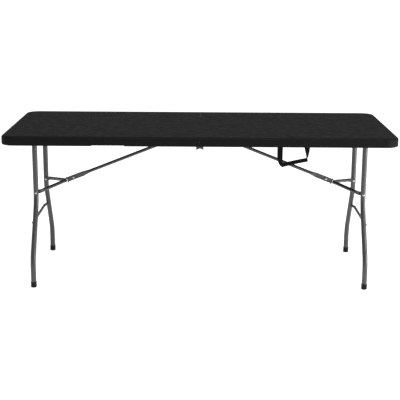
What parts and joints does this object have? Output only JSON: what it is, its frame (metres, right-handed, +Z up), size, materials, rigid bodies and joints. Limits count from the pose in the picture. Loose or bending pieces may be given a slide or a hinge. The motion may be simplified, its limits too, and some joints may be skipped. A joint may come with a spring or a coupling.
{
  "type": "folding table",
  "caption": "Long black folding table with a blow-moulded top that folds in half, grey steel wishbone legs and lock-ring braces.",
  "frame": {"origin": "on the floor, in the middle of the table", "axes": "X along the table's length with +X to the right seen from the front, Y across it with the front at -Y, Z up"},
  "size_m": [1.808, 0.74, 0.74],
  "materials": {
    "top_plastic": "blow-moulded HDPE with a fine pebble grain, black",
    "leg_steel": "powder coat with a slight texture, dark grey",
    "rail_steel": "powder coat, dark grey",
    "zinc": "bright zinc plating",
    "black_plastic": "injection-moulded, black",
    "webbing": "woven polypropylene webbing, black"
  },
  "bodies": {
    "right_half": {"right_top": "top_plastic", "right_front_rail": "rail_steel", "right_rear_rail": "rail_steel", "right_rail_screws": "zinc", "right_front_hinge_leaf": "rail_steel", "right_rear_hinge_leaf": "rail_steel", "right_hinge_rivets": "rail_steel", "right_centre_rod": "zinc", "right_brace_collars": "black_plastic", "hinge_pins": "rail_steel", "strap": "webbing", "strap_plates": "zinc", "strap_screws": "zinc"},
    "right_legs": {"right_pivot_tube": "leg_steel", "right_pivot_caps": "black_plastic", "right_front_leg": "leg_steel", "right_rear_leg": "leg_steel", "right_cross_bar": "leg_steel", "right_front_foot": "black_plastic", "right_rear_foot": "black_plastic", "right_leg_rivets": "zinc"},
    "right_arms": {"right_front_arm": "leg_steel", "right_rear_arm": "leg_steel", "right_arm_rivets": "zinc", "right_joint_rivet": "zinc"},
    "right_brace": {"right_brace": "leg_steel"},
    "right_ring": {"right_lock_ring": "zinc"},
    "left_half": {"left_top": "top_plastic", "left_front_rail": "rail_steel", "left_rear_rail": "rail_steel", "left_rail_screws": "zinc", "left_front_hinge_leaf": "rail_steel", "left_rear_hinge_leaf": "rail_steel", "left_hinge_rivets": "rail_steel", "left_centre_rod": "zinc", "left_brace_collars": "black_plastic"},
    "left_legs": {"left_pivot_tube": "leg_steel", "left_pivot_caps": "black_plastic", "left_front_leg": "leg_steel", "left_rear_leg": "leg_steel", "left_cross_bar": "leg_steel", "left_front_foot": "black_plastic", "left_rear_foot": "black_plastic", "left_leg_rivets": "zinc"},
    "left_arms": {"left_front_arm": "leg_steel", "left_rear_arm": "leg_steel", "left_arm_rivets": "zinc", "left_joint_rivet": "zinc"},
    "left_brace": {"left_brace": "leg_steel"},
    "left_ring": {"left_lock_ring": "zinc"}
  },
  "joints": [
    {"name": "centre_fold", "type": "hinge", "parent": "right_half", "child": "left_half", "pos_m": [0, 0, 0.6975], "axis": [0, -1, 0], "range_deg": [0, 90]},
    {"name": "right_leg_fold", "type": "hinge", "parent": "right_half", "child": "right_legs", "pos_m": [0.784, 0, 0.708], "axis": [0, 1, 0], "range_deg": [0, 90]},
    {"name": "right_brace_fold", "type": "hinge", "parent": "right_half", "child": "right_brace", "pos_m": [0.022, 0, 0.708], "axis": [0, -1, 0], "range_deg": [0, 21.8]},
    {"name": "right_arm_fold", "type": "hinge", "parent": "right_brace", "child": "right_arms", "pos_m": [0.62301, 0, 0.46864], "axis": [0, 1, 0], "range_deg": [0, 187.1]},
    {"name": "right_ring_slide", "type": "slide", "parent": "right_brace", "child": "right_ring", "axis": [-0.929, 0, 0.37], "range_m": [0, 0.397]},
    {"name": "left_leg_fold", "type": "hinge", "parent": "left_half", "child": "left_legs", "pos_m": [-0.784, 0, 0.708], "axis": [0, -1, 0], "range_deg": [0, 90]},
    {"name": "left_brace_fold", "type": "hinge", "parent": "left_half", "child": "left_brace", "pos_m": [-0.022, 0, 0.708], "axis": [0, 1, 0], "range_deg": [0, 21.8]},
    {"name": "left_arm_fold", "type": "hinge", "parent": "left_brace", "child": "left_arms", "pos_m": [-0.62301, 0, 0.46864], "axis": [0, -1, 0], "range_deg": [0, 187.1]},
    {"name": "left_ring_slide", "type": "slide", "parent": "left_brace", "child": "left_ring", "axis": [0.929, 0, 0.37], "range_m": [0, 0.397]}
  ],
  "couplings": [
    {"joint": "right_brace_fold", "follows": "right_leg_fold", "ratio": 0.24128},
    {"joint": "right_arm_fold", "follows": "right_leg_fold", "ratio": 2.0783},
    {"joint": "right_ring_slide", "follows": "right_leg_fold", "m_per_rad": 0.2521},
    {"joint": "left_brace_fold", "follows": "left_leg_fold", "ratio": 0.24128},
    {"joint": "left_arm_fold", "follows": "left_leg_fold", "ratio": 2.0783},
    {"joint": "left_ring_slide", "follows": "left_leg_fold", "m_per_rad": 0.2521}
  ]
}
